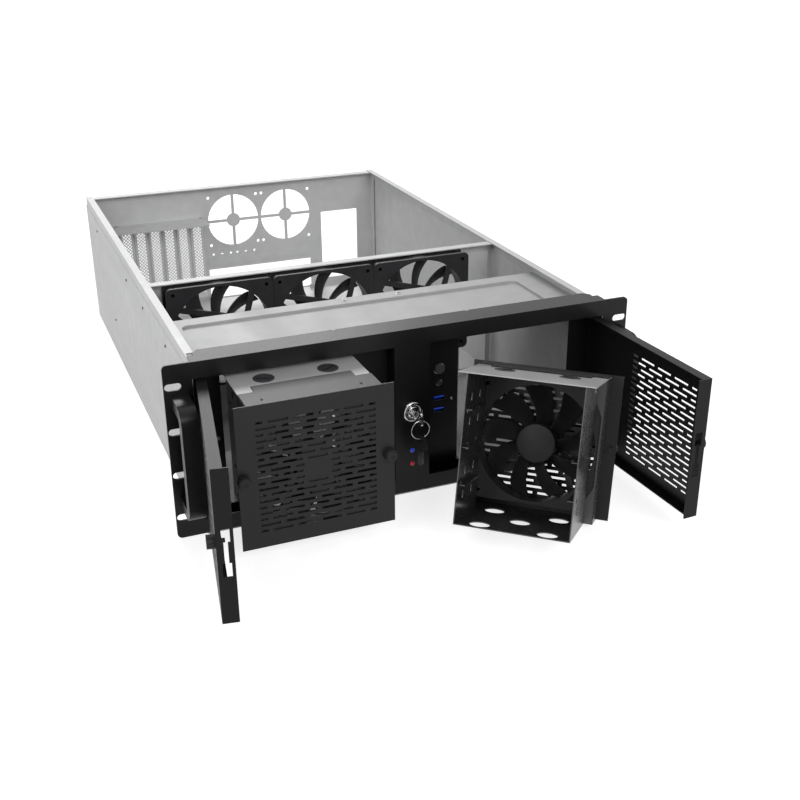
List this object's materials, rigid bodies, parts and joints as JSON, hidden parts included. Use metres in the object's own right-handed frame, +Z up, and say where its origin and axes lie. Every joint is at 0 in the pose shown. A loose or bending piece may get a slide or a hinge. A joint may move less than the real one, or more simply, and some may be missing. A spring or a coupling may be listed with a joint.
{
  "type": "empty rackmount server case",
  "caption": "Open-topped rackmount server case with hinged vented front doors, drive cages with fans, a fan wall and a vented rear panel.",
  "frame": {"origin": "middle of the case's underside, on the plane of the rack ears' front face", "axes": "+X to the right seen from the front, +Y from the front to the back, +Z up"},
  "size_m": [0.4877, 0.869, 0.1782],
  "materials": {
    "galvanised_steel": "satin galvanised sheet",
    "black_steel": "black powder coat",
    "black_plastic": "matt black",
    "chrome": "polished",
    "blue_plastic": "clear blue",
    "red_plastic": "clear red",
    "steel_bright": "bright zinc"
  },
  "bodies": {
    "case": {"bay_frame": "black_steel", "blue_led": "blue_plastic", "bridge_plate": "galvanised_steel", "bridge_screws": "steel_bright", "cage_shelf_left": "galvanised_steel", "cage_shelf_right": "galvanised_steel", "chassis_tray": "galvanised_steel", "fan_frame_left": "black_plastic", "fan_frame_middle": "black_plastic", "fan_frame_right": "black_plastic", "fan_wall": "galvanised_steel", "front_bezel": "black_steel", "left_handle": "black_steel", "left_hinge_brackets": "black_steel", "left_hinge_pins": "steel_bright", "lock_box": "black_steel", "lock_housing": "chrome", "rear_panel": "galvanised_steel", "red_led": "red_plastic", "right_handle": "black_steel", "right_hinge_brackets": "black_steel", "right_hinge_pins": "steel_bright", "slot_cover_1": "galvanised_steel", "slot_cover_2": "galvanised_steel", "slot_cover_3": "galvanised_steel", "slot_cover_4": "galvanised_steel", "slot_cover_5": "galvanised_steel", "slot_cover_6": "galvanised_steel", "slot_cover_7": "galvanised_steel", "slot_shelf": "galvanised_steel", "slot_shelf_screws": "steel_bright", "standoffs": "steel_bright", "thread_inserts": "steel_bright", "usb_shells": "steel_bright", "usb_tongues": "blue_plastic"},
    "fan_left": {"fan_rotor_left": "black_plastic"},
    "fan_middle": {"fan_rotor_middle": "black_plastic"},
    "fan_right": {"fan_rotor_right": "black_plastic"},
    "left_door": {"left_door": "black_steel", "left_door_screw": "black_plastic"},
    "right_door": {"right_door": "black_steel", "right_door_screw": "black_plastic"},
    "left_cage": {"left_cage_shell": "galvanised_steel", "left_cage_plate": "black_steel", "left_cage_fan_frame": "black_plastic", "left_cage_thumbscrews": "black_plastic", "left_cage_knobs": "black_plastic"},
    "left_cage_fan": {"left_cage_fan_rotor": "black_plastic"},
    "right_cage": {"right_cage_shell": "galvanised_steel", "right_cage_plate": "black_steel", "right_cage_fan_frame": "black_plastic", "right_cage_thumbscrews": "black_plastic", "right_cage_knobs": "black_plastic"},
    "right_cage_fan": {"right_cage_fan_rotor": "black_plastic"},
    "power": {"power_button": "black_plastic"},
    "reset": {"reset_button": "black_plastic"},
    "lock": {"lock_barrel": "chrome", "lock_key": "chrome"},
    "keys": {"key_ring": "chrome", "spare_key": "black_plastic"}
  },
  "joints": [
    {"name": "fan_left_spin", "type": "hinge", "parent": "case", "child": "fan_left", "pos_m": [-0.132, 0.2407, 0.111], "axis": [0, 1, 0], "continuous": true},
    {"name": "fan_middle_spin", "type": "hinge", "parent": "case", "child": "fan_middle", "pos_m": [-0.0117, 0.2407, 0.111], "axis": [0, 1, 0], "continuous": true},
    {"name": "fan_right_spin", "type": "hinge", "parent": "case", "child": "fan_right", "pos_m": [0.1086, 0.2407, 0.111], "axis": [0, 1, 0], "continuous": true},
    {"name": "left_door_hinge", "type": "hinge", "parent": "case", "child": "left_door", "pos_m": [-0.2035, 0.007, 0.089], "axis": [0, 0, 1], "range_deg": [-0.3, 9.4]},
    {"name": "right_door_hinge", "type": "hinge", "parent": "case", "child": "right_door", "pos_m": [0.2035, 0.007, 0.089], "axis": [0, 0, 1], "range_deg": [-10, 7.6]},
    {"name": "left_cage_slide", "type": "slide", "parent": "case", "child": "left_cage", "axis": [0, 1, 0], "range_m": [-0.03, 0.0902]},
    {"name": "left_cage_fan_spin", "type": "hinge", "parent": "left_cage", "child": "left_cage_fan", "pos_m": [-0.122, -0.0583, 0.0877], "axis": [0, 1, 0], "continuous": true},
    {"name": "right_cage_lift_away", "type": "slide", "parent": "case", "child": "right_cage", "axis": [0, -1, 0], "range_m": [0, 0.15]},
    {"name": "right_cage_fan_spin", "type": "hinge", "parent": "right_cage", "child": "right_cage_fan", "pos_m": [0.10188, -0.07329, 0.07143], "axis": [-0.6211, -0.7272, 0.2924], "continuous": true},
    {"name": "power_press", "type": "slide", "parent": "case", "child": "power", "axis": [0, 1, 0], "range_m": [0, 0.0015], "stiffness_N_per_m": 400},
    {"name": "reset_press", "type": "slide", "parent": "case", "child": "reset", "axis": [0, 1, 0], "range_m": [0, 0.0009], "stiffness_N_per_m": 400},
    {"name": "lock_turn", "type": "hinge", "parent": "case", "child": "lock", "pos_m": [0, 0, 0.0909], "axis": [0, -1, 0], "range_deg": [0, 90]},
    {"name": "key_ring_swing", "type": "hinge", "parent": "lock", "child": "keys", "pos_m": [0, -0.0205, 0.0879], "axis": [0, 1, 0], "range_deg": [-20, 20]}
  ]
}
